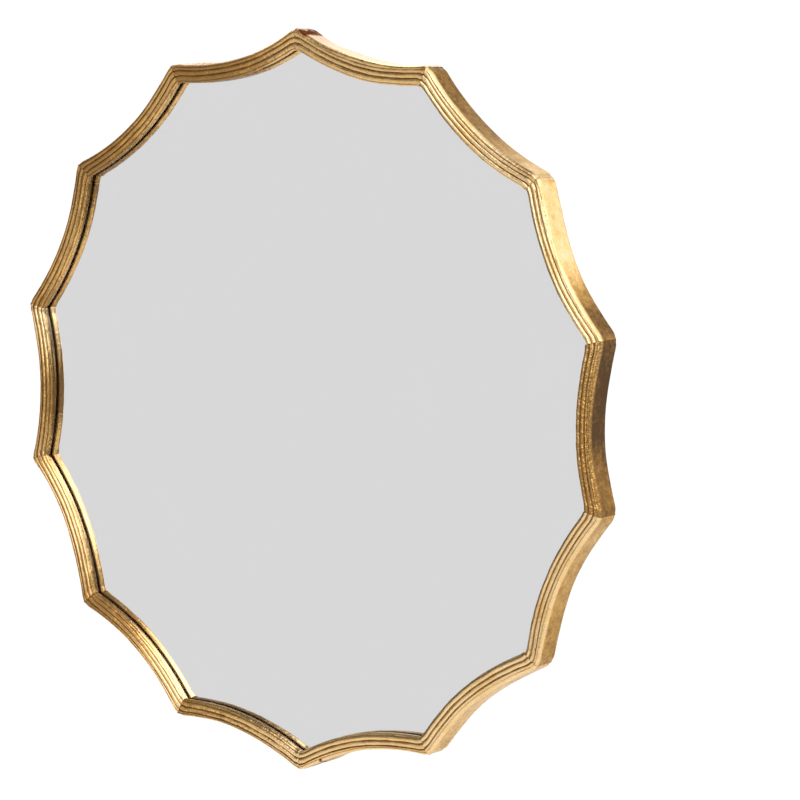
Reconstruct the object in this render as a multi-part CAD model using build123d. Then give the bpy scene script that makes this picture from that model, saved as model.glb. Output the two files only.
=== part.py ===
from build123d import *
import os
from math import sin, cos, sqrt, radians, pi

# Sunburst wall mirror: a fourteen-point scalloped frame of mitred mouldings around
# a flat silvered glass.  Millimetres, real size.
# Frame: +X right as seen from the front, +Z up, the glass faces -Y.
# Origin: centre of the wall plane, which is the rear face of the wall bumpers.

# ---- driving dimensions ------------------------------------------------------
POINTS = 14                 # tips, and one moulding between each pair
TIP_TO_TIP = 914.4          # across two opposite tips, outside
SCALLOP_RADIUS = 315.0      # radius of the concave outer wall of one moulding
FRAME_DEPTH = 33.5          # front of the ribs to the rear rim
BUMPER_T = 3.0              # bumpers stand this far behind the rim

# moulding section, t = distance in from the outer wall, d = depth from the front
RIM_T = 8.0                 # width of the rear rim
LEDGE_T = 17.0              # the ledge behind the ribs runs from RIM_T to here
SIGHT_TOP_T = 20.2          # inner edge of the ribs
BEVEL_T, BEVEL_D = 22.6, 4.6    # the upper of the two rounded bevels inside the ribs ends here
SIGHT_T = 20.8              # sight edge, where the lower bevel meets the glass
SEAT_D = 12.6               # depth of the seat that the glass rests on
LEDGE_D = 18.8              # depth of the ledge that the back panel screws to
SHOULDER_T, SHOULDER_D = 3.2, 6.5
GROOVES = [(3.9, 0.9), (8.0, 1.15), (14.2, 1.25), (SIGHT_TOP_T, 1.4)]

GLASS_T = 3.8               # glass alone
SILVER_T = 0.2              # silver and paint on its back
GLASS_EDGE_T = 18.0         # glass outline, measured in from the outer wall
CARD_T = 2.2                # packing card between the silver and the back panel
CARD_EDGE_T = 18.3
PANEL_T = 9.0               # back panel
PANEL_EDGE_T = 8.3
SETTING_BLOCK = (28.0, 1.0) # length and thickness of the blocks under the glass edge

PANEL_SCREW_T = 12.7        # screw line, measured in from the outer wall
PANEL_SCREW_L = 16.0
PANEL_SCREW_R = 1.5
PANEL_SCREW_HEAD_R = 3.0
HOLE_CLEAR = 0.06

NAIL_LEG = 3.0              # V-nails across every mitre
NAIL_SHEET = 0.8
NAIL_RIM_L = 10.0
NAIL_LEDGE_L = 8.0

HANGER_X, HANGER_Z = 230.0, 158.0   # pivot of each hanging ring
STRAP_W, STRAP_T, STRAP_L = 12.0, 1.2, 40.0
BARREL_W = 10.0
WIRE_R = 1.4                # ring wire
RING_CLEAR = 0.07
PIVOT_Y = 3.0               # ring axis behind the back panel
RING_BAR = 6.0              # half length of the ring's straight bar
RING_CORNER = 3.0
RING_SIDE = 2.0
HANGER_SCREW_R, HANGER_SCREW_L, HANGER_HEAD_R, HANGER_HEAD_T = 1.6, 8.0, 3.0, 1.6
HANGER_HOLES = (-20.0, -33.0)       # below the pivot

BUMPER_R = 2.3
BUMPER_AT = (2.5, 5.5, 8.5, 11.5)       # midway along these scallops, in tips clockwise from the top

# ---- derived -------------------------------------------------------------------
R_TIP = TIP_TO_TIP / 2
HALF = pi / POINTS
STEP = 360.0 / POINTS
CENTRE = R_TIP * cos(HALF) + sqrt(SCALLOP_RADIUS ** 2 - (R_TIP * sin(HALF)) ** 2)
FRONT_Y = -(FRAME_DEPTH + BUMPER_T)
RIM_Y = -BUMPER_T
GLASS_D = SEAT_D
SILVER_D = GLASS_D + GLASS_T
CARD_D = SILVER_D + SILVER_T
PANEL_D = CARD_D + CARD_T
PANEL_REAR_Y = FRONT_Y + PANEL_D + PANEL_T

assert abs(PANEL_D - LEDGE_D) < 1e-6


def yd(d):
    """Depth behind the front of the ribs, as a Y coordinate."""
    return FRONT_Y + d


def tip_radius(t):
    """Distance from the centre to a tip of the outline that lies t inside the outer wall."""
    r = SCALLOP_RADIUS + t
    c = cos(HALF)
    return c * CENTRE - sqrt((c * CENTRE) ** 2 - CENTRE ** 2 + r * r)


def polar(r, deg):
    return (r * cos(radians(deg)), r * sin(radians(deg)))


def bisector(k):
    """Angle of moulding k, clockwise from the top as seen from the front."""
    return 90.0 - (k + 0.5) * STEP


def tip_angle(k):
    return 90.0 - k * STEP


def turned(shape, deg):
    """Turns a shape made along +X to the angle deg in the X-Z plane."""
    return Rot(0, -deg, 0) * shape


# plane whose local x, y are world X, Z and whose normal is world -Y
def plan(y):
    return Plane(origin=(0, y, 0), x_dir=(1, 0, 0), z_dir=(0, -1, 0))


def star_face(t, y):
    rt = tip_radius(t)
    rm = CENTRE - (SCALLOP_RADIUS + t)
    edges = []
    for k in range(POINTS):
        a, b = polar(rt, tip_angle(k)), polar(rt, tip_angle(k + 1))
        m = polar(rm, bisector(k))
        edges.append(ThreePointArc(a, m, b))
    return plan(y) * make_face(edges)


def star_plate(t, d0, d1):
    """Scalloped plate with its outline t inside the outer wall, from depth d0 to d1."""
    return extrude(star_face(t, yd(d1)), amount=d1 - d0)


# ---- V-nails ---------------------------------------------------------------------
def v_nail(apex_r, deg, y_rear, length):
    s = NAIL_SHEET
    pts = [(apex_r, 0), (apex_r - NAIL_LEG, NAIL_LEG), (apex_r - NAIL_LEG - s * 0.7, NAIL_LEG - s * 0.7),
           (apex_r - s * 1.4, 0), (apex_r - NAIL_LEG - s * 0.7, -NAIL_LEG + s * 0.7), (apex_r - NAIL_LEG, -NAIL_LEG)]
    f = plan(y_rear) * make_face(Polyline(*pts, close=True))
    return turned(extrude(f, amount=length), deg)


RIM_NAIL_R = R_TIP - 4.6
LEDGE_NAIL_R = R_TIP - 12.6


def nails_at(k):
    return [v_nail(RIM_NAIL_R, tip_angle(k), RIM_Y, NAIL_RIM_L),
            v_nail(LEDGE_NAIL_R, tip_angle(k), yd(LEDGE_D), NAIL_LEDGE_L)]


nails = {k: nails_at(k) for k in range(POINTS)}


# ---- screws ------------------------------------------------------------------------
def countersunk_screw(length, r, head_r, head_t, tip=3.0, grow=0.0):
    """Along -Y from its flat head at y = 0."""
    p = [(0, 0), (head_r + grow, 0), (r + grow, -head_t - grow * 0.5), (r + grow, -(length - tip)), (0, -length - grow)]
    f = make_face(Polyline(*p, close=True))
    return revolve(f, Axis.Y)


def cross_recess(size, depth):
    a = Box(size, depth * 2, 0.7)
    b = Box(0.7, depth * 2, size)
    return a + b


def panel_screw():
    s = countersunk_screw(PANEL_SCREW_L, PANEL_SCREW_R, PANEL_SCREW_HEAD_R, 1.7)
    return s - cross_recess(3.4, 1.1)


PANEL_SCREW_RADIUS = CENTRE - (SCALLOP_RADIUS + PANEL_SCREW_T)


def at_polar(shape, r, deg, y):
    x, z = polar(r, deg)
    return Pos(x, y, z) * shape


screw_hole = countersunk_screw(PANEL_SCREW_L + 0.6, PANEL_SCREW_R, PANEL_SCREW_HEAD_R, 1.7, grow=HOLE_CLEAR)


# ---- one moulding --------------------------------------------------------------------
def section():
    def P(t, d):
        return (CENTRE - (SCALLOP_RADIUS + t), yd(d))

    g = GROOVES
    e = []
    e.append(Line(P(0.5, FRAME_DEPTH), P(0, FRAME_DEPTH - 0.5)))
    e.append(Line(P(0, FRAME_DEPTH - 0.5), P(0, SHOULDER_D)))
    e.append(Bezier(P(0, SHOULDER_D), P(0, SHOULDER_D - 0.5523 * (SHOULDER_D - 0.3)),
                    P(SHOULDER_T * 0.4477, 0.3), P(SHOULDER_T, 0.3)))
    e.append(Line(P(SHOULDER_T, 0.3), P(*g[0])))
    e.append(ThreePointArc(P(*g[0]), P((g[0][0] + g[1][0]) / 2, 0.0), P(*g[1])))
    e.append(ThreePointArc(P(*g[1]), P((g[1][0] + g[2][0]) / 2, 0.0), P(*g[2])))
    e.append(ThreePointArc(P(*g[2]), P((g[2][0] + g[3][0]) / 2, 0.1), P(*g[3])))
    e.append(ThreePointArc(P(*g[3]), P((g[3][0] + BEVEL_T) / 2 + 0.35, (g[3][1] + BEVEL_D) / 2 - 0.25),
                           P(BEVEL_T, BEVEL_D)))
    e.append(ThreePointArc(P(BEVEL_T, BEVEL_D), P((BEVEL_T + SIGHT_T) / 2 + 0.45, (BEVEL_D + SEAT_D) / 2 - 0.2),
                           P(SIGHT_T, SEAT_D)))
    e.append(Line(P(SIGHT_T, SEAT_D), P(LEDGE_T, SEAT_D)))
    e.append(Line(P(LEDGE_T, SEAT_D), P(LEDGE_T, LEDGE_D)))
    e.append(Line(P(LEDGE_T, LEDGE_D), P(RIM_T, LEDGE_D)))
    e.append(Line(P(RIM_T, LEDGE_D), P(RIM_T, FRAME_DEPTH)))
    e.append(Line(P(RIM_T, FRAME_DEPTH), P(0.5, FRAME_DEPTH)))
    return make_face(e)


def wedge():
    """Everything between the two mitre planes of a moulding that lies along +X."""
    far = R_TIP * 1.3
    x, z = polar(far, 180.0 / POINTS)
    f = plan(10) * make_face(Polyline((0, 0), (x, -z), (x, z), close=True))
    return extrude(f, amount=60)


SWEEP = 46.0
axis = Axis((CENTRE, 0, 0), (0, 1, 0))
bar = revolve(section().rotate(axis, -SWEEP / 2), axis, SWEEP)
bar = bar & wedge()


def moulding(k):
    m = turned(bar, bisector(k))
    m = m - at_polar(screw_hole, PANEL_SCREW_RADIUS, bisector(k), PANEL_REAR_Y)
    for n in nails[k] + nails[(k + 1) % POINTS]:
        m = m - n
    return m


# ---- flat pieces -----------------------------------------------------------------------
glass = star_plate(GLASS_EDGE_T, GLASS_D, SILVER_D)
silver = star_plate(GLASS_EDGE_T, SILVER_D, CARD_D)
card = star_plate(CARD_EDGE_T, CARD_D, PANEL_D)

panel = star_plate(PANEL_EDGE_T, PANEL_D, PANEL_D + PANEL_T)
for k in range(POINTS):
    panel = panel - at_polar(screw_hole, PANEL_SCREW_RADIUS, bisector(k), PANEL_REAR_Y)
panel_screws = [at_polar(panel_screw(), PANEL_SCREW_RADIUS, bisector(k), PANEL_REAR_Y) for k in range(POINTS)]


# blocks between the lower glass edge and the moulding, one in each of the four lowest mouldings
def setting_block(k):
    length, thick = SETTING_BLOCK
    r0 = SCALLOP_RADIUS + LEDGE_T
    half = (length / 2) / r0 * 180 / pi
    f = make_face(Polyline((CENTRE - r0, yd(GLASS_D)), (CENTRE - r0 - thick, yd(GLASS_D)),
                           (CENTRE - r0 - thick, yd(CARD_D)), (CENTRE - r0, yd(CARD_D)), close=True))
    b = revolve(f.rotate(axis, -half), axis, 2 * half)
    return turned(b, bisector(k))


blocks = [setting_block(k) for k in (5, 6, 7, 8)]


# ---- hanging hardware --------------------------------------------------------------------
def strap():
    """Pivot at the origin, back panel's face at y = -PIVOT_Y; the strap runs down from the pivot."""
    y0 = -PIVOT_Y
    plate = Pos(0, y0 + STRAP_T / 2, -STRAP_L / 2) * Box(BARREL_W, STRAP_T, STRAP_L)
    tail = Pos(0, y0 + STRAP_T / 2, -(STRAP_L + 8) / 2 - 2) * Box(STRAP_W, STRAP_T, STRAP_L - 12)
    tail = fillet(tail.edges().filter_by(Axis.Y).group_by(Axis.Z)[0], 5.0)
    outer = WIRE_R + RING_CLEAR + STRAP_T
    barrel = Cylinder(outer, BARREL_W, rotation=(0, 90, 0))
    s = plate + tail + barrel
    s = s - Cylinder(WIRE_R + RING_CLEAR, BARREL_W * 2, rotation=(0, 90, 0))
    for z in HANGER_HOLES:
        s = s - Pos(0, y0, z) * Cylinder(HANGER_SCREW_R + 0.15, 10, rotation=(90, 0, 0))
    return s


def ring():
    """Hanging straight down from a pivot at the origin."""
    b, c, s = RING_BAR, RING_CORNER, RING_SIDE
    w = b + c
    k = c * (1 - sqrt(0.5))
    path = Wire([
        Line((0, 0, 0), (b, 0, 0)).edge(),
        ThreePointArc((b, 0, 0), (w - k, 0, -k), (w, 0, -c)).edge(),
        Line((w, 0, -c), (w, 0, -c - s)).edge(),
        ThreePointArc((w, 0, -c - s), (0, 0, -c - s - w), (-w, 0, -c - s)).edge(),
        Line((-w, 0, -c - s), (-w, 0, -c)).edge(),
        ThreePointArc((-w, 0, -c), (-w + k, 0, -k), (-b, 0, 0)).edge(),
        Line((-b, 0, 0), (0, 0, 0)).edge(),
    ])
    return sweep(Plane.YZ * Circle(WIRE_R), path)


def hanger_screw():
    """Pan head on the strap, its underside at y = 0, shank along -Y."""
    p = [(0, HANGER_HEAD_T), (HANGER_HEAD_R * 0.62, HANGER_HEAD_T), (HANGER_HEAD_R, HANGER_HEAD_T * 0.45),
         (HANGER_HEAD_R, 0), (HANGER_SCREW_R, 0), (HANGER_SCREW_R, -(HANGER_SCREW_L - 2.2)), (0, -HANGER_SCREW_L)]
    s = revolve(make_face(Polyline(*p, close=True)), Axis.Y)
    return s - Pos(0, HANGER_HEAD_T, 0) * cross_recess(3.2, 0.9)


def hanger_bore():
    p = [(0, 1), (HANGER_SCREW_R + HOLE_CLEAR, 1), (HANGER_SCREW_R + HOLE_CLEAR, -(HANGER_SCREW_L - 2.0)),
         (0, -HANGER_SCREW_L - 0.1)]
    return revolve(make_face(Polyline(*p, close=True)), Axis.Y)


PIVOT = {"left": (-HANGER_X, PANEL_REAR_Y + PIVOT_Y, HANGER_Z),
         "right": (HANGER_X, PANEL_REAR_Y + PIVOT_Y, HANGER_Z)}
hanger = {}
for side, (px, py, pz) in PIVOT.items():
    screws = []
    for dz in HANGER_HOLES:
        screws.append(Pos(px, PANEL_REAR_Y + STRAP_T, pz + dz) * hanger_screw())
        panel = panel - Pos(px, PANEL_REAR_Y + STRAP_T, pz + dz) * hanger_bore()
    hanger[side] = (Pos(px, py, pz) * strap(), Pos(px, py, pz) * ring(), screws)


# ---- bumpers --------------------------------------------------------------------------------
def bumper(k):
    h = pi / POINTS
    r = R_TIP * cos(h) + sqrt(SCALLOP_RADIUS ** 2 - (R_TIP * sin(h)) ** 2) - SCALLOP_RADIUS - 5.4
    p = [(0, 0), (BUMPER_R - 0.5, 0), (BUMPER_R, -0.5), (BUMPER_R, -BUMPER_T), (0, -BUMPER_T)]
    return at_polar(revolve(make_face(Polyline(*p, close=True)), Axis.Y), r, tip_angle(k), 0)


bumpers = [bumper(k) for k in BUMPER_AT]

# ---- the parts --------------------------------------------------------------------------------
nodes = {}
for k in range(POINTS):
    nodes["frame_segment_%02d" % (k + 1)] = moulding(k)
nodes["mitre_v_nails"] = Compound([s for k in range(POINTS) for n in nails[k] for s in n.solids()])
nodes["mirror_glass"] = glass
nodes["silver_coating"] = silver
nodes["glass_setting_blocks"] = Compound([s for b in blocks for s in b.solids()])
nodes["packing_card"] = card
nodes["back_panel"] = panel
nodes["back_panel_screws"] = Compound([s for b in panel_screws for s in b.solids()])
nodes["wall_bumpers"] = Compound([s for b in bumpers for s in b.solids()])
for side in ("left", "right"):
    st, rg, sc = hanger[side]
    nodes["hanger_strap_" + side] = st
    nodes["hanger_ring_" + side] = rg
    nodes["hanger_screws_" + side] = Compound([s for b in sc for s in b.solids()])

os.makedirs("parts", exist_ok=True)
for name, shape in nodes.items():
    export_step(shape, "parts/%s.step" % name)
    bb = shape.bounding_box()
    print("%-24s solids %2d  volume %12.1f  size %7.2f %7.2f %7.2f" % (
        name, len(shape.solids()), shape.volume, bb.size.X, bb.size.Y, bb.size.Z))
print("panel rear y %.2f, ring pivots %s" % (PANEL_REAR_Y, PIVOT))
print("tip radii: glass %.2f, panel %.2f, sight %.2f; sight mid-arc %.2f" % (
    tip_radius(GLASS_EDGE_T), tip_radius(PANEL_EDGE_T), tip_radius(SIGHT_T), CENTRE - SCALLOP_RADIUS - SIGHT_T))
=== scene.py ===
import math
import bpy
import numpy as np
from mathutils import Matrix, Vector

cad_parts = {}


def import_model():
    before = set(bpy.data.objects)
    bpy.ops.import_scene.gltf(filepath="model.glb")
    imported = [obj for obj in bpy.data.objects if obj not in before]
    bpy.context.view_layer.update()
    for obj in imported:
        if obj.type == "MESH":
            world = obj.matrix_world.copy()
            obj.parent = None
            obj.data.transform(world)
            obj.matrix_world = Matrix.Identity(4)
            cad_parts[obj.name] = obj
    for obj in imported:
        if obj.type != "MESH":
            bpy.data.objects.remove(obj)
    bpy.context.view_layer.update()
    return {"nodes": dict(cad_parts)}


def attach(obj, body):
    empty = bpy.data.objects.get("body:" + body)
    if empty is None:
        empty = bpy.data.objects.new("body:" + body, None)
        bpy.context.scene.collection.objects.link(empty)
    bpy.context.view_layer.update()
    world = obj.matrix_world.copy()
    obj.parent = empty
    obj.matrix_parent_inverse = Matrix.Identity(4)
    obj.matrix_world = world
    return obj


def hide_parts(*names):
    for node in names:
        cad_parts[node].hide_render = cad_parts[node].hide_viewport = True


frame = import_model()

NODES = frame["nodes"]
SCENE = bpy.context.scene
MM = 0.001

# ---------------------------------------------------------------- the star's plan
POINTS = 14
R_TIP = 457.2
SCALLOP = 315.0
HALF = math.pi / POINTS
CENTRE = R_TIP * math.cos(HALF) + math.sqrt(SCALLOP ** 2 - (R_TIP * math.sin(HALF)) ** 2)
FRONT_Y = -36.5
RIM_Y = -3.0


def tip_q(t):
    r = SCALLOP + t
    c = math.cos(HALF)
    return c * CENTRE - np.sqrt((c * CENTRE) ** 2 - CENTRE ** 2 + r * r)


def half_angle(t):
    q = tip_q(t)
    return np.arctan2(q * math.sin(HALF), CENTRE - q * math.cos(HALF))


def bisector(k):
    return math.radians(90.0 - (k + 0.5) * 360.0 / POINTS)


def on_segment(k, s, t, y):
    """World position in metres.  s runs clockwise from -1 to 1 between the two mitres, t is the distance in from the outer wall."""
    r = SCALLOP + t
    th = -s * half_angle(t)
    u, v = CENTRE - r * np.cos(th), r * np.sin(th)
    a = bisector(k)
    return np.stack([u * math.cos(a) - v * math.sin(a), y + 0 * u, u * math.sin(a) + v * math.cos(a)], -1) * MM


# ---------------------------------------------------------------- smooth seeded noise
class Noise:
    """Value noise on a periodic lattice, any number of dimensions up to three."""

    def __init__(self, seed):
        self.g = np.random.default_rng(seed).uniform(-1, 1, (32, 32, 32))

    def __call__(self, x, y=0.0, z=0.0):
        p = np.broadcast_arrays(np.asarray(x, float), np.asarray(y, float), np.asarray(z, float))
        i = [np.floor(a).astype(int) for a in p]
        f = [a - b for a, b in zip(p, i)]
        f = [a * a * (3 - 2 * a) for a in f]
        out = 0.0
        for dx in (0, 1):
            for dy in (0, 1):
                for dz in (0, 1):
                    w = (f[0] if dx else 1 - f[0]) * (f[1] if dy else 1 - f[1]) * (f[2] if dz else 1 - f[2])
                    out = out + w * self.g[(i[0] + dx) % 32, (i[1] + dy) % 32, (i[2] + dz) % 32]
        return out


def smooth(a, b, x):
    u = np.clip((x - a) / (b - a), 0, 1)
    return u * u * (3 - 2 * u)


# ---------------------------------------------------------------- camera
def make_camera():
    data = bpy.data.cameras.new("camera")
    data.sensor_width = 36.0
    data.lens = 145.88
    data.clip_start, data.clip_end = 0.05, 60.0
    cam = bpy.data.objects.new("camera", data)
    SCENE.collection.objects.link(cam)
    fwd = Vector((-0.59817132, 0.79336058, -0.11300467)).normalized()
    up = Vector((-0.06651547, 0.09137455, 0.99359267))
    right = fwd.cross(up).normalized()
    up = right.cross(fwd).normalized()
    m = Matrix((right, up, -fwd)).transposed().to_4x4()
    m.translation = Vector((2.460076, -3.089277, 0.450233))
    cam.matrix_world = m
    SCENE.camera = cam
    return cam


# ---------------------------------------------------------------- node helpers
class Tree:
    def __init__(self, name):
        self.mat = bpy.data.materials.new(name)
        self.mat.use_nodes = True
        self.nt = self.mat.node_tree
        self.nt.nodes.clear()

    def node(self, kind, **kw):
        n = self.nt.nodes.new(kind)
        for key, val in kw.items():
            setattr(n, key, val)
        return n

    def link(self, a, b):
        self.nt.links.new(a, b)

    def put(self, socket, v):
        if isinstance(v, bpy.types.NodeSocket):
            self.link(v, socket)
        elif v is not None:
            socket.default_value = v

    def math(self, op, a, b=None, c=None, clamp=False):
        n = self.node("ShaderNodeMath", operation=op, use_clamp=clamp)
        for i, v in enumerate((a, b, c)):
            if v is not None:
                self.put(n.inputs[i], v)
        return n.outputs[0]

    def ramp(self, x, stops, interp="LINEAR"):
        n = self.node("ShaderNodeValToRGB")
        n.color_ramp.interpolation = interp
        e = n.color_ramp.elements
        while len(e) < len(stops):
            e.new(0.5)
        for el, (p, c) in zip(e, stops):
            el.position = p
            el.color = (c, c, c, 1) if isinstance(c, (int, float)) else (*c, 1)
        self.put(n.inputs[0], x)
        return n.outputs[0]

    def mapr(self, x, a, b, c=0.0, d=1.0, kind="SMOOTHSTEP"):
        n = self.node("ShaderNodeMapRange", interpolation_type=kind)
        self.put(n.inputs[0], x)
        for i, v in zip((1, 2, 3, 4), (a, b, c, d)):
            self.put(n.inputs[i], v)
        return n.outputs[0]

    def mix(self, f, a, b, blend="MIX"):
        n = self.node("ShaderNodeMix", data_type="RGBA", blend_type=blend)
        self.put(n.inputs[0], f)
        for i, v in ((6, a), (7, b)):
            self.put(n.inputs[i], (*v, 1) if isinstance(v, tuple) and len(v) == 3 else v)
        return n.outputs[2]

    def noise(self, vec, scale, detail=3.0, rough=0.5, lac=2.0, dim="3D", distortion=0.0):
        n = self.node("ShaderNodeTexNoise", noise_dimensions=dim)
        self.put(n.inputs["Vector"], vec)
        n.inputs["Scale"].default_value = scale
        n.inputs["Detail"].default_value = detail
        n.inputs["Roughness"].default_value = rough
        n.inputs["Lacunarity"].default_value = lac
        n.inputs["Distortion"].default_value = distortion
        return n.outputs[0]

    def attr(self, name):
        n = self.node("ShaderNodeAttribute", attribute_name=name)
        return n

    def scaled(self, vec, x, y, z):
        n = self.node("ShaderNodeVectorMath", operation="MULTIPLY")
        self.put(n.inputs[0], vec)
        n.inputs[1].default_value = (x, y, z)
        return n.outputs[0]

    def bump(self, height, strength, dist, prev=None):
        n = self.node("ShaderNodeBump")
        n.inputs["Strength"].default_value = strength
        n.inputs["Distance"].default_value = dist
        self.put(n.inputs["Height"], height)
        if prev is not None:
            self.link(prev, n.inputs["Normal"])
        return n.outputs[0]

    def shader(self, **kw):
        n = self.node("ShaderNodeBsdfPrincipled")
        for key, v in kw.items():
            self.put(n.inputs[key.replace("_", " ")], (*v, 1) if isinstance(v, tuple) and len(v) == 3 else v)
        return n

    def finish(self, shader):
        out = self.node("ShaderNodeOutputMaterial")
        self.link(shader.outputs[0], out.inputs[0])
        return self.mat


# ---------------------------------------------------------------- materials
TINT = (1.000, 0.934, 0.835)


def gilding():
    t = Tree("antique_gilding")
    pos = t.node("ShaderNodeNewGeometry").outputs["Position"]
    flow = t.attr("flow").outputs["Vector"]
    cavity = t.attr("cavity").outputs["Fac"]
    crest = t.attr("crest").outputs["Fac"]
    wall = t.attr("wall").outputs["Fac"]
    raw = t.attr("raw").outputs["Fac"]
    toning_and_shade = t.attr("toning_and_shade").outputs["Fac"]
    wall_colour_and_light = t.attr("wall_colour_and_light").outputs["Fac"]
    worn = t.attr("worn").outputs["Fac"]

    coarse = t.noise(pos, 22, 3, 0.55)
    mid = t.noise(pos, 95, 4, 0.6)
    fine = t.noise(pos, 430, 3, 0.6)
    streak = t.noise(t.scaled(flow, 16, 640, 1), 1.0, 3, 0.6)
    streak2 = t.noise(t.scaled(flow, 48, 1500, 1), 1.0, 2, 0.6)
    grain = t.noise(pos, 240, 3, 0.65)
    cross = t.noise(t.scaled(flow, 400, 210, 1), 1.0, 3, 0.6)
    bole_and_shadow_spot = t.attr("bole_and_shadow_spot").outputs["Fac"]

    # leaf colour between a deep and a pale gold, in streaks along the ribs
    u = t.math("ADD", t.math("MULTIPLY", grain, 0.45), t.math("MULTIPLY", streak, 0.55))
    leaf = t.ramp(u, [(0.34, (0.60, 0.33, 0.085)), (0.46, (0.76, 0.47, 0.155)), (0.56, (0.86, 0.58, 0.235)), (0.70, (0.93, 0.71, 0.37))])
    # paler gold where the face weight is low: a painted highlight on the mouldings that catch the most light
    leaf = t.mix(t.math("MULTIPLY", t.math("SUBTRACT", 0.8, toning_and_shade, clamp=True), 0.75), leaf, (0.98, 0.82, 0.56))
    leaf = t.mix(t.math("MULTIPLY", t.mapr(coarse, 0.46, 0.70), 0.45), leaf, (0.70, 0.41, 0.125))

    # the veil of brown toning, heavier in streaks; its weight per moulding is partly real toning and partly painted
    # shade on the mouldings that face away from the light
    v = t.math("ADD", t.math("MULTIPLY", streak, 0.55), t.math("ADD", t.math("MULTIPLY", grain, 0.30), t.math("MULTIPLY", mid, 0.15)))
    v = t.math("ADD", v, t.math("MULTIPLY", t.math("SUBTRACT", cross, 0.5), t.math("MULTIPLY", worn, 0.9)))
    lo = t.math("SUBTRACT", 0.66, t.math("MULTIPLY", toning_and_shade, 0.34))
    brown_film_and_shade = t.mapr(v, lo, t.math("ADD", lo, 0.16))
    # leaf rubbed through to a brown bole, rare and drawn out along the length
    rub = t.math("ADD", t.math("MULTIPLY", t.noise(t.scaled(flow, 34, 150, 1), 1.0, 4, 0.6), 0.8), t.math("MULTIPLY", crest, 0.06))
    rub = t.math("MULTIPLY", t.mapr(rub, 0.585, 0.64), 0.75)
    bole = t.mix(fine, (0.20, 0.070, 0.020), (0.34, 0.135, 0.045))
    # dark wax left in the hollows; towards the glass the same weight is painted shade for the dark band at the sight
    # edge
    hollow_patina_and_edge_shade = t.math("MULTIPLY", cavity, t.mapr(t.math("ADD", mid, t.math("MULTIPLY", streak2, 0.5)), 0.45, 0.95, 0.80, 1.0), clamp=True)

    # the outside is painted and toned, not gilded; its lightness per moulding is partly the paint's own colour and
    # partly painted light and shade for the way each wall faces the light
    cloud = t.math("ADD", t.math("MULTIPLY", coarse, 0.30), t.math("ADD", t.math("MULTIPLY", mid, 0.35), t.math("MULTIPLY", grain, 0.35)))
    w = t.math("ADD", wall_colour_and_light, t.math("MULTIPLY", t.math("SUBTRACT", cloud, 0.5), 1.5), clamp=True)
    outside_colour_and_light = t.ramp(w, [(0.0, (0.085, 0.040, 0.007)), (0.25, (0.27, 0.142, 0.028)), (0.50, (0.54, 0.322, 0.088)), (0.75, (0.82, 0.590, 0.270)), (1.0, (0.90, 0.720, 0.560))])

    col = t.mix(rub, leaf, bole)
    col = t.mix(t.math("MULTIPLY", brown_film_and_shade, 0.80), col, (0.20, 0.098, 0.028))
    col = t.mix(wall, col, outside_colour_and_light)
    # bole showing through on the outer edge, and one spot of painted shadow under the bottom tip
    bole_and_shadow = t.mapr(t.math("ADD", bole_and_shadow_spot, t.math("MULTIPLY", t.math("SUBTRACT", grain, 0.5), 0.8)), 0.35, 0.62)
    col = t.mix(bole_and_shadow, col, (0.120, 0.032, 0.010))
    col = t.mix(1.0, col, TINT, "MULTIPLY")
    # the wax colour: real wax in the hollows, painted shade in the band where the moulding meets the glass
    col = t.mix(hollow_patina_and_edge_shade, col, (0.150, 0.058, 0.007))
    rawcol = t.mix(t.noise(t.scaled(pos, 60, 260, 60), 1.0, 4, 0.6), (0.075, 0.040, 0.018), (0.17, 0.10, 0.05))
    col = t.mix(raw, col, rawcol)

    metal = t.math("SUBTRACT", 1.0, t.math("MAXIMUM", t.math("MULTIPLY", rub, 0.55), t.math("MULTIPLY", hollow_patina_and_edge_shade, 0.35)))
    metal = t.math("MULTIPLY", metal, t.math("SUBTRACT", 0.96, t.math("MULTIPLY", brown_film_and_shade, 0.45)))
    metal = t.math("MULTIPLY", metal, t.math("SUBTRACT", 1.0, t.math("MULTIPLY", wall, 0.35)))
    metal = t.math("MULTIPLY", metal, t.math("SUBTRACT", 1.0, t.math("MAXIMUM", raw, bole_and_shadow)), clamp=True)
    rough = t.math("ADD", 0.13, t.math("MULTIPLY", grain, 0.16))
    rough = t.math("ADD", rough, t.math("MULTIPLY", t.math("MAXIMUM", t.math("MAXIMUM", rub, hollow_patina_and_edge_shade), brown_film_and_shade), 0.15))
    rough = t.math("ADD", rough, t.math("MULTIPLY", wall, 0.16))
    rough = t.math("ADD", rough, t.math("MULTIPLY", raw, 0.3), clamp=True)

    n = t.bump(fine, 0.22, 0.0002)
    n = t.bump(streak, 0.40, 0.0003, n)
    n = t.bump(grain, 0.35, 0.0005, n)
    n = t.bump(t.math("ADD", mid, t.math("MULTIPLY", cross, t.math("MULTIPLY", worn, 1.4))), 0.40, 0.0006, n)
    s = t.shader(Base_Color=col, Metallic=metal, Roughness=rough, Normal=n, Coat_Weight=0.03, Coat_Roughness=0.15,
                 Specular_IOR_Level=t.math("MULTIPLY", t.math("SUBTRACT", 1.0, t.math("MAXIMUM", hollow_patina_and_edge_shade, bole_and_shadow), clamp=True), 0.20))
    return t.finish(s)


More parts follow.
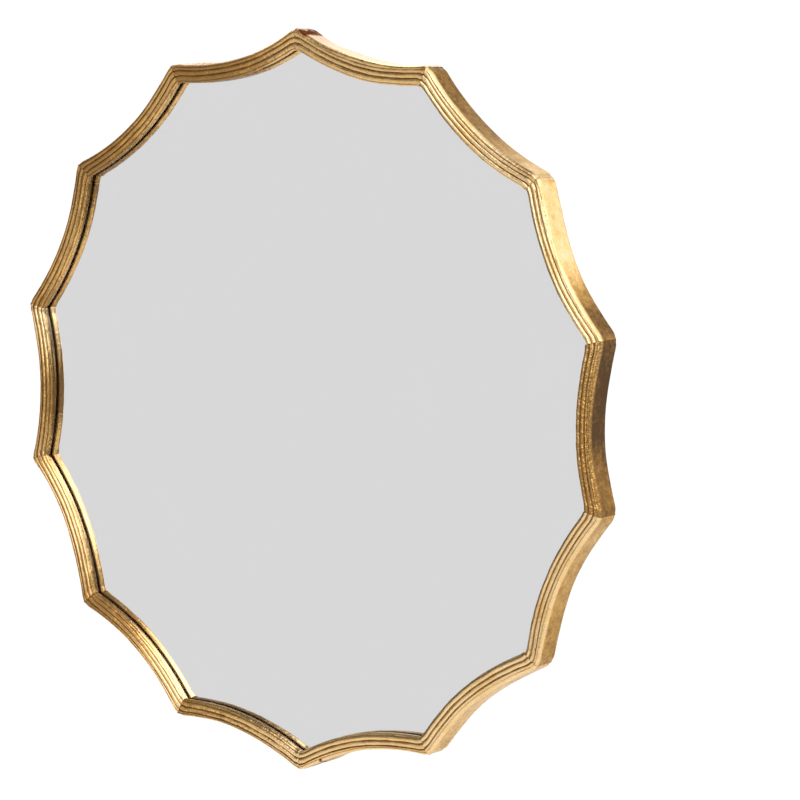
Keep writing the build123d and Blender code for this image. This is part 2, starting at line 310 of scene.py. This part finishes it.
def simple(name, cols, scale, metallic=0.0, rough=(0.4, 0.6), bump=(0.3, 0.0003), stretch=(1, 1, 1), detail=4, coat=0.0):
    t = Tree(name)
    pos = t.node("ShaderNodeNewGeometry").outputs["Position"]
    v = t.scaled(pos, *stretch)
    a = t.noise(v, scale, detail, 0.6)
    b = t.noise(v, scale * 6.3, 3, 0.6)
    u = t.math("ADD", t.math("MULTIPLY", a, 0.65), t.math("MULTIPLY", b, 0.35))
    col = t.ramp(u, [(0.30 + 0.4 * i / (len(cols) - 1), c) for i, c in enumerate(cols)])
    r = t.mapr(u, 0.35, 0.65, rough[0], rough[1])
    n = t.bump(u, bump[0], bump[1])
    s = t.shader(Base_Color=col, Metallic=metallic, Roughness=r, Normal=n, Coat_Weight=coat)
    return t.finish(s)


def glass_material():
    t = Tree("clear_glass")
    pos = t.node("ShaderNodeNewGeometry").outputs["Position"]
    a = t.noise(pos, 3.0, 2, 0.5)
    r = t.mapr(a, 0.3, 0.7, 0.0, 0.004)
    n = t.bump(a, 0.02, 0.00005)
    s = t.shader(Base_Color=(0.992, 0.992, 0.993), Roughness=r, Normal=n, Transmission_Weight=1.0, IOR=1.52, Specular_Tint=(0.12, 0.12, 0.12))
    return t.finish(s)


def silver_material():
    t = Tree("mirror_silver")
    pos = t.node("ShaderNodeNewGeometry").outputs["Position"]
    a = t.noise(pos, 9.0, 3, 0.5)
    col = t.mix(a, (0.958, 0.956, 0.957), (0.969, 0.967, 0.968))
    r = t.mapr(a, 0.3, 0.7, 0.0, 0.006)
    n = t.bump(a, 0.02, 0.00005)
    s = t.shader(Base_Color=col, Metallic=1.0, Roughness=r, Normal=n)
    return t.finish(s)


# ---------------------------------------------------------------- the mouldings
SEAT_D, LEDGE_D, DEPTH = 12.6, 18.8, 33.5
BEVEL_T, BEVEL_D = 22.6, 4.6
SIGHT_T, LEDGE_T, RIM_T = 20.8, 17.0, 8.0
GROOVES = [(3.9, 1.50), (8.0, 1.90), (14.2, 2.10), (20.2, 2.30)]
# The mouldings are worked by hand and never quite alike.  All in mm, at these places along each one:
PLACES = (-1.0, -0.88, -0.6, -0.3, 0.0, 0.3, 0.6, 0.88, 1.0)
# how far the ribs run off their line
DRIFT = [
    (1.0, 1.0, 0.5, 0.7, 1.1, 1.2, 0.8, 1.1, 1.1), (1.0, 1.0, 0.6, 0.4, 0.3, 0.3, -0.3, -0.6, -0.6),
    (-1.6, -1.6, -2.0, -1.9, -1.7, -1.5, -2.1, -2.3, -2.3), (0.4, 0.4, 0.1, 0.4, 0.5, 0.7, 0.3, 0.6, 0.6),
    (1.2, 1.2, 0.8, 0.7, 0.4, 0.1, -1.0, -1.6, -1.6), (-0.6, -0.6, -0.9, -0.4, -0.1, 0.4, -0.1, 0.0, 0.0),
    (-1.4, -1.4, -2.3, -2.3, -2.0, -1.8, -2.1, -2.0, -2.0), (-1.6, -1.6, -2.3, -2.8, -2.6, -2.5, -2.5, -1.9, -1.9),
    (-1.2, -1.2, -1.8, -1.3, -0.8, -0.3, -0.5, 0.0, 0.0), (-2.0, -2.0, -2.3, -1.4, -0.4, 0.3, 0.4, 0.9, 0.9),
    (0.3, 0.3, -0.3, -0.6, -1.0, -1.2, -1.8, -2.0, -2.0), (-1.0, -1.0, -1.8, -1.7, -1.5, -1.4, -2.2, -2.0, -2.0),
    (1.4, 1.4, 0.9, 0.6, 0.4, 0.2, -0.8, -1.0, -1.0), (0.2, 0.2, 0.0, -0.1, 0.7, 1.6, 1.3, 1.2, 1.2)]
# single grooves that stray from the rest: (first, last)
STRAY = [(0.0, 0.9), (0.0, -0.4), (-0.9, -0.5), (0.5, -0.7), (0.5, -0.2), (0.4, 0.4), (0.6, -0.2), (0.5, 0.2),
         (0.8, -0.3), (0.5, 0.3), (0.5, 0.6), (0.0, 0.6), (-0.6, 0.1), (-0.6, 0.6)]
# how strong the outermost groove is in each moulding
FAINT = [0.5, 1.0, 0.4, 0.5, 0.25, 0.25, 0.4, 0.5, 0.8, 0.85, 0.7, 0.8, 0.8, 0.6]
# where the outside leans out towards the back: moulding, place, reach, mm
FLARE = [(13, -0.60, 0.26, -2.4), (0, -0.55, 0.30, 1.0), (6, 0.58, 0.16, -1.6)]
# how far the outline strays, positive into the wood
OUTLINE = [
    (0, 0.4, 0.8, -1.0, -1.2, -0.6, -0.3, 0.0, 0), (0, 0.0, -0.6, -1.5, -1.7, -1.5, -1.3, -0.8, 0),
    (0, -0.8, -2.6, -1.8, -0.6, -0.2, -1.1, -0.9, 0), (0, -0.2, -0.8, 0.2, 1.0, 1.2, -0.3, -0.6, 0),
    (0, -0.5, -0.8, -0.1, 0.1, -1.0, -1.6, -0.6, 0), (0, -0.9, -2.2, -1.9, -0.9, -0.7, -1.3, -0.5, 0),
    (0, 0.8, 0.5, 0.0, 0.3, -0.7, -1.4, 0.0, 0), (0, 0.4, -0.4, -0.1, 0.1, 0.9, 0.1, 0.2, 0),
    (0, 0.0, 0.2, 0.9, 0.8, 1.2, 0.4, 0.3, 0), (0, 0.0, -0.4, 0.3, 1.5, 2.4, 2.1, 1.4, 0),
    (0, 1.6, 1.5, 1.3, 1.2, 0.5, -0.6, 0.0, 0), (0, 0.1, -0.3, -0.2, -0.1, 0.0, -0.9, -0.4, 0),
    (0, 0.6, 0.8, 0.9, 0.8, 0.6, -0.4, 0.0, 0), (0, 0.3, 0.1, 0.3, 0.9, 1.6, 1.3, 1.0, 0)]


def along(values, s):
    """Smooth curve through the values at PLACES."""
    grid = np.linspace(-1, 1, 801)
    v = np.interp(grid, PLACES, values)
    win = np.hanning(101)
    v = np.convolve(np.pad(v, 50, mode="edge"), win / win.sum(), "valid")
    return np.interp(s, grid, v)


def shoulder(u):
    p = np.array([(0, 6.5), (0, 6.5 - 0.5523 * 6.2), (3.2 * 0.4477, 0.3), (3.2, 0.3)])
    u = np.asarray(u)[:, None]
    return (1 - u) ** 3 * p[0] + 3 * u * (1 - u) ** 2 * p[1] + 3 * u * u * (1 - u) * p[2] + u ** 3 * p[3]


def stations():
    core = np.linspace(-1, 1, 231)
    return core


def moulding_mesh(k, rng):
    n1, n2, n3 = Noise(100 + k), Noise(200 + k), Noise(300 + k)
    s = stations()
    # extra stations next to the mitres
    arc = 105.0
    near = np.array([0.0, 0.12, 0.3, 0.6, 1.0, 1.6, 2.4]) / arc
    s = np.unique(np.round(np.concatenate([s[(s > -1 + 0.027) & (s < 1 - 0.027)], -1 + near, 1 - near]), 7))
    M = len(s)
    L = s * arc                                  # millimetres along the moulding
    end = (1 - np.abs(s)) * arc                  # distance to the nearer mitre

    rows = []       # each: (t array, d array, dict of masks)

    def row(t, d, **m):
        rows.append((np.broadcast_to(np.asarray(t, float), (M,)).copy(), np.broadcast_to(np.asarray(d, float), (M,)).copy(), m))

    # corners are rounded over where the run meets its neighbour
    turn = 2.1 * np.exp(-(end / 6.0) ** 2)
    edge = along(OUTLINE[k], s) + turn

    def wall_t(d):
        back = smooth(7.0, 14.0, d)
        flare = sum((v * np.exp(-((s - at_s) / wide) ** 2) for seg, at_s, wide, v in FLARE if seg == k), 0.0)
        return edge + back * (0.5 * np.exp(-(end / 9.0) ** 2) + flare)

    # outer wall, from the back edge to the shoulder
    row(wall_t(DEPTH) + 0.75, DEPTH - 0.05, wall=1.0, raw=0.5)
    row(wall_t(DEPTH) + 0.32, DEPTH - 0.30, wall=1.0, crest=0.8)
    row(wall_t(DEPTH) + 0.12, DEPTH - 1.1, wall=1.0, crest=0.5)
    for d in np.linspace(DEPTH - 2.4, 7.0, 22):
        row(wall_t(d), d, wall=1.0)
    for i, (t, d) in enumerate(shoulder(np.linspace(0, 1, 11))):
        row(edge + t, d, wall=float(np.clip(1.15 - i / 3.2, 0, 1)), crest=0.55 if 1 < i < 7 else 0.2)

    # ribs
    drift = along(DRIFT[k], s) + 0.22 * n1(L / 30.0, 0.5) + 0.10 * n1(L / 9.0, 5.5)
    g = []
    for i, (t, d) in enumerate(GROOVES):
        follow = (0.55, 1.0, 1.0, 0.9)[i]
        tt = t + drift * follow + 0.12 * n2(L / 16.0, 3.1 * i)
        if i == 0:
            tt = tt + STRAY[k][0] + 0.35 * edge
        else:
            tt = tt + turn
        if i == 3:
            tt = tt + STRAY[k][1] - 0.25 * turn
        dd = d * (1 + 0.28 * n2(L / 11.0, 7.7 + 3.1 * i) - 0.25 * WEAR[k])
        if i == 0:
            dd = 0.2 + dd * (0.85 + 0.30 * n2(L / 30.0, 1.3)) * FAINT[k]
        g.append((tt, dd))
    marks = [(edge + 2.7, 0.30 + 0 * L)] + g
    for b in range(4):
        (ta, da), (tb, db) = marks[b], marks[b + 1]
        n_in = (5, 12, 14, 14)[b]
        top = (0.12, 0.03, 0.0, 0.08)[b]
        for u in (1 - np.cos(np.linspace(0, math.pi, n_in + 1)[1:-1])) / 2:
            if b == 0:
                u = 0.35 + 0.65 * u
                row(ta + (tb - ta) * u, top + (db - top) * ((u - 0.35) / 0.65) ** 2, cavity=0.7 * FAINT[k] * ((u - 0.35) / 0.65) ** 4, crest=0.3)
                continue
            shape = (1 - abs(2 * u - 1) ** 2.0) ** 0.66
            base = da + (db - da) * u
            d = base * (1 - shape) + top * shape
            cav = math.exp(-(min(u, 1 - u) * (tb - ta).mean() / 0.72) ** 2) * (FAINT[k] if b == 1 and u < 0.5 else 1.0)
            row(ta + (tb - ta) * u, d, cavity=0.9 * cav, crest=float(smooth(0.45, 0.0, abs(u - 0.5))))
        row(tb, db, cavity=(0.9 * FAINT[k], 1.0, 1.0, 0.85)[b])

    # two rounded bevels inside the ribs, down to the glass
    (ta, da) = marks[-1]
    bt = BEVEL_T + 0.8 * (ta - GROOVES[3][0])
    bd = BEVEL_D + 0.25 * n2(L / 14.0, 21.0)
    for u in np.linspace(0, 1, 9)[1:]:
        h = 0.60 * 4 * u * (1 - u)
        row(ta + (bt - ta) * u + h * 0.80, np.maximum(da + (bd - da) * u - h * 0.55, 0.25), inner=0.5,
            cavity=0.9 * math.exp(-(u * 4.2 / 0.6) ** 2) + 0.55 * math.exp(-((1 - u) * 4.2 / 0.5) ** 2), crest=0.3)
    st = SIGHT_T + 0.30 * (ta - GROOVES[3][0])
    sd = SEAT_D - 0.07
    # the wax weight rising at the foot of this bevel is painted shade for the dark band at the glass
    for u in np.linspace(0, 1, 10)[1:]:
        h = 0.42 * 4 * u * (1 - u)
        row(bt + (st - bt) * u + h, bd + (sd - bd) * u - 0.3 * h, inner=1.0,
            cavity=0.5 * math.exp(-(u * 5.8 / 0.5) ** 2) + 0.95 * float(smooth(0.74, 0.93, u)), crest=0.2)

    front_rows = len(rows)
    # seat, rebate, ledge, rim
    row(st - 1.2, sd, raw=1.0, inner=1.0, cavity=1.0)
    row(LEDGE_T + 1.0, sd, raw=1.0)
    row(LEDGE_T, sd, raw=1.0)
    row(LEDGE_T, (SEAT_D + LEDGE_D) / 2, raw=1.0)
    row(LEDGE_T, LEDGE_D - 0.02, raw=1.0)
    row((LEDGE_T + RIM_T) / 2, LEDGE_D, raw=1.0)
    row(RIM_T, LEDGE_D + 0.02, raw=1.0)
    for d in np.linspace(LEDGE_D + 2, DEPTH - 1.0, 6):
        row(RIM_T, d, raw=1.0)
    row(RIM_T - 0.25, DEPTH - 0.25, raw=1.0)
    row(RIM_T - 0.9, DEPTH - 0.05, raw=1.0)
    for t in np.linspace(RIM_T - 2, 4.8, 3):
        row(t, DEPTH - 0.05, raw=1.0)
    row(np.minimum(wall_t(DEPTH) + 2.6, 4.2), DEPTH - 0.05, raw=0.9)

    J = len(rows)
    T = np.array([r[0] for r in rows])
    D = np.array([r[1] for r in rows])
    masks = {m: np.array([np.full(M, r[2].get(m, 0.0)) for r in rows]) for m in ("wall", "cavity", "crest", "raw", "inner")}

    # profile coordinate (mm along the section) and outward normals of the section
    base_t, base_d = T.mean(1), D.mean(1)
    step = np.hypot(np.diff(base_t, append=base_t[0]), np.diff(base_d, append=base_d[0]))
    P = np.concatenate([[0], np.cumsum(step)[:-1]])
    dt = np.roll(T, -1, 0) - np.roll(T, 1, 0)
    dd = np.roll(D, -1, 0) - np.roll(D, 1, 0)
    ln = np.hypot(dt, dd) + 1e-9
    # walking from the back of the wall to the front, the outside is on the left
    nt, nd = dd / ln, -dt / ln
    X, Y = np.broadcast_to(L, (J, M)), np.broadcast_to(P[:, None], (J, M))
    hand = 0.10 * n1(X / 17.0, Y / 7.0, 2.2) + 0.05 * n2(X / 5.0, Y / 2.6, 4.4) + 0.03 * n3(X / 1.9, Y / 1.3, 6.6)
    hand = hand + 0.075 * n1(X / 42.0, Y / 0.95, 12.3) + (0.05 + 0.12 * WEAR[k]) * n2(X / 3.2, Y / 2.4, 14.1)
    hand = hand - 0.20 - 0.10 * WEAR[k]
    # dents and chips, mostly on the exposed edges
    pits = n3(X / 4.3, Y / 2.7, 9.1) * 0.6 + n2(X / 2.1, Y / 1.6, 1.7) * 0.4
    hand = hand - (0.25 + 0.25 * WEAR[k]) * smooth(0.42, 0.75, pits) * (0.25 + 0.75 * masks["crest"])
    wallhand = 0.12 * n1(X / 26.0, Y / 12.0, 3.3) + 0.04 * n2(X / 6.0, Y / 4.0, 8.8) - 0.15
    amp = np.where(masks["wall"] > 0.5, wallhand, hand)
    amp = amp * (1 - masks["raw"])
    # fine V at each mitre, on the faces that show
    seam = 0.13 * np.exp(-(end / 0.45) ** 2) * (1 + 0.6 * n1(Y / 3.0, 3.0 + np.sign(X), 1.0))
    amp = amp - seam * (1 - masks["raw"]) * (1 - 0.5 * masks["wall"])
    # the last rows before the glass stay true
    amp[front_rows - 3:front_rows + 1] *= np.array([0.6, 0.25, 0.0, 0.0])[:, None]
    # outward of the section is -t on the wall and -d on the front
    T2 = T + nt * amp
    D2 = D + nd * amp
    T, D = T2, D2
    tipward = smooth(30.0, 8.0, end)[None, :]
    T = np.maximum(T, -3.2 * (1 - tipward) * (T < 2.0))
    D = np.clip(D, 0.0, DEPTH - 0.04)

    # positions: every point's run ends on its own mitre plane, less a hairline
    r = SCALLOP + T
    gap = 0.02
    th = -s[None, :] * (half_angle(T) - gap / r)
    u, v = CENTRE - r * np.cos(th), r * np.sin(th)
    a = bisector(k)
    co = np.stack([u * math.cos(a) - v * math.sin(a), FRONT_Y + D, u * math.sin(a) + v * math.cos(a)], -1) * MM

    idx = np.arange(J * M).reshape(J, M)
    faces = []
    for j in range(J):
        jn = (j + 1) % J
        A, B = idx[j], idx[jn]
        quads = np.stack([A[:-1], A[1:], B[1:], B[:-1]], -1)
        faces.extend(quads.tolist())
    faces.append(idx[:, 0].tolist())
    faces.append(idx[::-1, -1].tolist())
    mesh = bpy.data.meshes.new("moulding_%02d" % (k + 1))
    mesh.from_pydata(co.reshape(-1, 3).tolist(), [], faces)
    for name, arr in masks.items():
        at = mesh.attributes.new(name, "FLOAT", "POINT")
        val = arr.copy()
        if name == "cavity":
            val = np.maximum(val, (0.50 * np.exp(-(end / 0.55) ** 2))[None, :] * (1 - masks["raw"]))
        if name == "crest":
            val = np.maximum(val, (0.9 * np.exp(-(end / 3.0) ** 2))[None, :] * masks["wall"])
        at.data.foreach_set("value", val.astype(np.float32).ravel())
    own = {"toning_and_shade": np.broadcast_to(along(FACE_TONING_AND_SHADE[k], s), (J, M)), "wall_colour_and_light": np.broadcast_to(along(WALL_COLOUR_AND_LIGHT[k], s), (J, M)),
           "worn": np.full((J, M), WEAR[k]), "bole_and_shadow_spot": 0.0 * X}
    for seg, at_s, wide, most in BOLE_AND_SHADOW_SPOTS:
        if seg == k:
            own["bole_and_shadow_spot"] = own["bole_and_shadow_spot"] + most * np.exp(-((s[None, :] - at_s) / wide) ** 2) * (T < 3.2) * (1 - masks["raw"])
    for name, val in own.items():
        at = mesh.attributes.new(name, "FLOAT", "POINT")
        at.data.foreach_set("value", val.astype(np.float32).ravel())
    fl = np.stack([X + 300.0 * k, Y, 0 * X], -1) * MM
    at = mesh.attributes.new("flow", "FLOAT_VECTOR", "POINT")
    at.data.foreach_set("vector", fl.astype(np.float32).ravel())
    mesh.validate()
    mesh.update()
    # consistent outward normals
    import bmesh
    bm = bmesh.new()
    bm.from_mesh(mesh)
    bmesh.ops.recalc_face_normals(bm, faces=bm.faces)
    bm.to_mesh(mesh)
    bm.free()
    smooth_flags = np.ones(len(mesh.polygons), bool)
    smooth_flags[-2:] = False
    mesh.polygons.foreach_set("use_smooth", smooth_flags)
    # sharp lines: the caps, the seat corners
    ring_rows = {front_rows - 1, front_rows, front_rows + 2, front_rows + 4, front_rows + 6}
    sharp = np.zeros(len(mesh.edges), bool)
    ev = np.zeros(len(mesh.edges) * 2, np.int32)
    mesh.edges.foreach_get("vertices", ev)
    ev = ev.reshape(-1, 2)
    jr, mr = ev // M, ev % M
    same_row = jr[:, 0] == jr[:, 1]
    sharp |= same_row & np.isin(jr[:, 0], list(ring_rows))
    same_end = (mr[:, 0] == mr[:, 1]) & ((mr[:, 0] == 0) | (mr[:, 0] == M - 1))
    sharp |= same_end
    at = mesh.attributes.get("sharp_edge") or mesh.attributes.new("sharp_edge", "BOOLEAN", "EDGE")
    at.data.foreach_set("value", sharp)
    return mesh


# how worn and mottled each moulding is
WEAR = [0.2, 0.1, 0.35, 1.0, 0.15, 0.25, 0.3, 0.6, 0.35, 0.1, 0.3, 0.2, 0.15, 0.3]
# bole showing on the outer edge, and a painted shadow under the bottom tip (moulding 7, near 0.62): moulding, place,
# reach, weight
BOLE_AND_SHADOW_SPOTS = [(0, -0.84, 0.09, 0.62), (0, -0.97, 0.08, 0.42), (13, -0.55, 0.40, 0.42), (6, 0.62, 0.05, 0.6), (13, 0.9, 0.2, 0.35)]
# weight of the brown toning on the face, at PLACES: partly real toning, partly painted shade on the mouldings that
# face away from the light; a low weight also brings the painted highlight
FACE_TONING_AND_SHADE = [
    (0.45,) * 9, (0.0,) * 9, (0.0,) * 9, (0.65, 0.65, 0.7, 0.75, 0.8, 0.85, 0.9, 0.95, 0.95), (0.2,) * 9, (0.15,) * 9, (0.35,) * 9,
    (0.1, 0.1, 0.25, 0.45, 0.55, 0.65, 0.7, 0.8, 0.8), (0.1, 0.1, 0.15, 0.3, 0.55, 0.75, 0.85, 0.95, 0.95),
    (0.6, 0.6, 0.45, 0.3, 0.2, 0.15, 0.25, 0.45, 0.6), (0.5, 0.5, 0.6, 0.75, 0.8, 0.5, 0.1, 0.0, 0.1),
    (0.8, 0.8, 0.65, 0.55, 0.55, 0.65, 0.7, 0.75, 0.75), (1.0, 1.0, 0.95, 0.85, 0.75, 0.65, 0.6, 0.65, 0.75),
    (1.0, 1.0, 1.0, 1.0, 0.95, 0.8, 0.55, 0.5, 0.5)]
# colour of the outside, from deep brown (0) to pale (1), at PLACES: partly the paint's own colour, partly painted
# light and shade for the way each wall faces the light
WALL_COLOUR_AND_LIGHT = [
    (0.95, 0.95, 1.0, 1.0, 1.0, 0.95, 0.95, 0.95, 0.95), (0.25, 0.25, 0.28, 0.30, 0.36, 0.48, 0.60, 0.75, 0.8),
    (0.70, 0.70, 0.74, 0.74, 0.70, 0.58, 0.14, 0.16, 0.22), (0.05, 0.03, 0.0, 0.0, 0.02, 0.06, 0.20, 0.24, 0.18),
    (0.50, 0.50, 0.50, 0.48, 0.45, 0.42, 0.40, 0.38, 0.38), (0.6,) * 9, (0.45,) * 9,
    (0.35,) * 9, (0.35,) * 9, (0.3,) * 9, (0.25,) * 9, (0.3,) * 9, (0.3,) * 9,
    (0.9, 0.9, 0.9, 0.8, 0.5, 0.35, 0.35, 0.35, 0.35)]


def build_mouldings(mat):
    rng = np.random.default_rng(7)
    out = []
    for k in range(POINTS):
        mesh = moulding_mesh(k, rng)
        o = bpy.data.objects.new("moulding_%02d" % (k + 1), mesh)
        SCENE.collection.objects.link(o)
        mesh.materials.append(mat)
        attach(o, "mirror")
        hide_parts("frame_segment_%02d" % (k + 1))
        out.append(o)
    return out


# ---------------------------------------------------------------- the pane
def build_pane(mat):
    """Glass with ground edges, a hair clear of the silver behind it."""
    rows = []
    t0, d0, d1, arris = 18.0, SEAT_D, SEAT_D + 3.8 - 0.02, 0.5
    m = 48
    s = np.linspace(-1, 1, m + 1)[:-1]
    for t, d in ((t0 + arris, d0), (t0, d0 + arris), (t0, d1 - arris), (t0 + arris, d1)):
        ring = np.concatenate([on_segment(k, s, np.full(m, t), FRONT_Y + d) for k in range(POINTS)])
        rows.append(ring)
    n = len(rows[0])
    co = np.concatenate(rows)
    faces = []
    for j in range(3):
        for i in range(n):
            i2 = (i + 1) % n
            faces.append([j * n + i, j * n + i2, (j + 1) * n + i2, (j + 1) * n + i])
    faces.append(list(range(n)))
    faces.append(list(range(3 * n, 4 * n))[::-1])
    mesh = bpy.data.meshes.new("pane")
    mesh.from_pydata(co.tolist(), [], faces)
    import bmesh
    bm = bmesh.new()
    bm.from_mesh(mesh)
    bmesh.ops.recalc_face_normals(bm, faces=bm.faces)
    bm.to_mesh(mesh)
    bm.free()
    mesh.materials.append(mat)
    o = bpy.data.objects.new("pane", mesh)
    SCENE.collection.objects.link(o)
    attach(o, "mirror")
    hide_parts("mirror_glass")
    return o


# ---------------------------------------------------------------- studio
def world():
    w = bpy.data.worlds.new("studio")
    SCENE.world = w
    w.use_nodes = True
    nt = w.node_tree
    nt.nodes.clear()

    def node(kind, **kw):
        n = nt.nodes.new(kind)
        for a, b in kw.items():
            setattr(n, a, b)
        return n

    def m(op, a, b=None, clamp=False):
        n = node("ShaderNodeMath", operation=op, use_clamp=clamp)
        for i, v in enumerate((a, b)):
            if v is None:
                continue
            if isinstance(v, bpy.types.NodeSocket):
                nt.links.new(v, n.inputs[i])
            else:
                n.inputs[i].default_value = v
        return n.outputs[0]

    tc = node("ShaderNodeTexCoord")
    norm = node("ShaderNodeVectorMath", operation="NORMALIZE")
    nt.links.new(tc.outputs["Generated"], norm.inputs[0])
    total = None
    for direction, inner, outer, value in LOBES:
        d = Vector(direction).normalized()
        dot = node("ShaderNodeVectorMath", operation="DOT_PRODUCT")
        nt.links.new(norm.outputs[0], dot.inputs[0])
        dot.inputs[1].default_value = d
        mr = node("ShaderNodeMapRange", interpolation_type="SMOOTHSTEP")
        nt.links.new(dot.outputs["Value"], mr.inputs[0])
        mr.inputs[1].default_value = math.cos(math.radians(outer))
        mr.inputs[2].default_value = math.cos(math.radians(inner))
        mr.inputs[3].default_value = 0.0
        mr.inputs[4].default_value = value
        total = mr.outputs[0] if total is None else m("ADD", total, mr.outputs[0])
    total = m("MAXIMUM", m("ADD", total, AMBIENT), 0.02)
    lp = node("ShaderNodeLightPath")
    strength = node("ShaderNodeMix", data_type="FLOAT")
    nt.links.new(lp.outputs["Is Camera Ray"], strength.inputs[0])
    nt.links.new(total, strength.inputs[2])
    strength.inputs[3].default_value = 1.05
    bg = node("ShaderNodeBackground")
    bg.inputs[0].default_value = (1, 1, 1, 1)
    nt.links.new(strength.outputs[0], bg.inputs[1])
    out = node("ShaderNodeOutputWorld")
    nt.links.new(bg.outputs[0], out.inputs[0])


AMBIENT = 0.08
LOBES = [
    ((-0.60, -0.79, -0.11), 20, 36, 0.645),
    ((-0.03, -0.99, 0.12), 4, 20, 3.10),
    ((-0.75, -0.15, 0.64), 5, 24, 0.29),
    ((0.06, -0.77, 0.64), 5, 24, 2.60),
    ((-0.70, 0.41, 0.58), 6, 30, 1.70),
    ((0.16, -0.30, 0.94), 6, 30, 0.39),
    ((0.58, -0.57, 0.58), 6, 30, 2.60),
    ((0.41, 0.23, 0.88), 8, 36, 1.15),
    ((0.90, -0.07, 0.42), 8, 36, 1.23),
    ((0.68, 0.59, 0.42), 8, 40, 0.76),
    ((0.73, 0.65, -0.22), 8, 40, 1.00),
    ((0.46, 0.79, 0.39), 6, 20, 1.28),
    ((-0.49, 0.79, 0.36), 15, 38, 1.10),
]


def floor():
    t = Tree("floor")
    pos = t.node("ShaderNodeNewGeometry").outputs["Position"]
    a = t.noise(pos, 2.0, 2, 0.5)
    col = t.mix(a, (0.90, 0.90, 0.90), (0.93, 0.93, 0.93))
    r = t.mapr(a, 0.3, 0.7, 0.6, 0.75)
    n = t.bump(a, 0.05, 0.0005)
    s = t.shader(Base_Color=col, Roughness=r, Normal=n)
    mat = t.finish(s)
    z = -1.5
    mesh = bpy.data.meshes.new("floor")
    n_ = 96
    rad = 4.0
    co = [(0, 0, z)] + [(rad * math.cos(2 * math.pi * i / n_), rad * math.sin(2 * math.pi * i / n_), z) for i in range(n_)]
    mesh.from_pydata(co, [], [(0, 1 + i, 1 + (i + 1) % n_) for i in range(n_)])
    mesh.materials.append(mat)
    o = bpy.data.objects.new("floor", mesh)
    SCENE.collection.objects.link(o)
    return o


# ---------------------------------------------------------------- everything
make_camera()
SCENE.view_settings.view_transform = "Standard"
SCENE.view_settings.look = "None"
SCENE.view_settings.exposure = 0.0
SCENE.view_settings.gamma = 1.0

gold = gilding()
build_mouldings(gold)
build_pane(glass_material())

steel = simple("zinc_steel", [(0.42, 0.42, 0.41), (0.60, 0.60, 0.58), (0.72, 0.72, 0.69)], 160, 1.0, (0.28, 0.5))
nail = simple("nail_steel", [(0.30, 0.29, 0.28), (0.48, 0.47, 0.46)], 220, 1.0, (0.35, 0.6))
ringm = simple("ring_steel", [(0.62, 0.61, 0.58), (0.76, 0.75, 0.72)], 120, 1.0, (0.16, 0.3))
board = simple("fibreboard", [(0.075, 0.045, 0.028), (0.115, 0.070, 0.043), (0.15, 0.095, 0.058)], 45, 0.0, (0.55, 0.75), (0.4, 0.0004))
card = simple("card", [(0.30, 0.21, 0.13), (0.40, 0.29, 0.18)], 60, 0.0, (0.7, 0.85))
cork = simple("cork", [(0.18, 0.10, 0.05), (0.34, 0.21, 0.11), (0.45, 0.29, 0.16)], 500, 0.0, (0.7, 0.9))
rubber = simple("rubber", [(0.018, 0.018, 0.018), (0.035, 0.035, 0.034)], 300, 0.0, (0.5, 0.7))
FINISH = {
    "mitre_v_nails": nail, "silver_coating": silver_material(), "glass_setting_blocks": cork, "packing_card": card,
    "back_panel": board, "back_panel_screws": steel, "wall_bumpers": rubber,
    "hanger_strap_left": steel, "hanger_strap_right": steel, "hanger_screws_left": steel, "hanger_screws_right": steel,
    "hanger_ring_left": ringm, "hanger_ring_right": ringm,
}
for name, mat in FINISH.items():
    me = NODES[name].data
    me.materials.clear()
    me.materials.append(mat)

world()
floor()

bpy.context.view_layer.update()
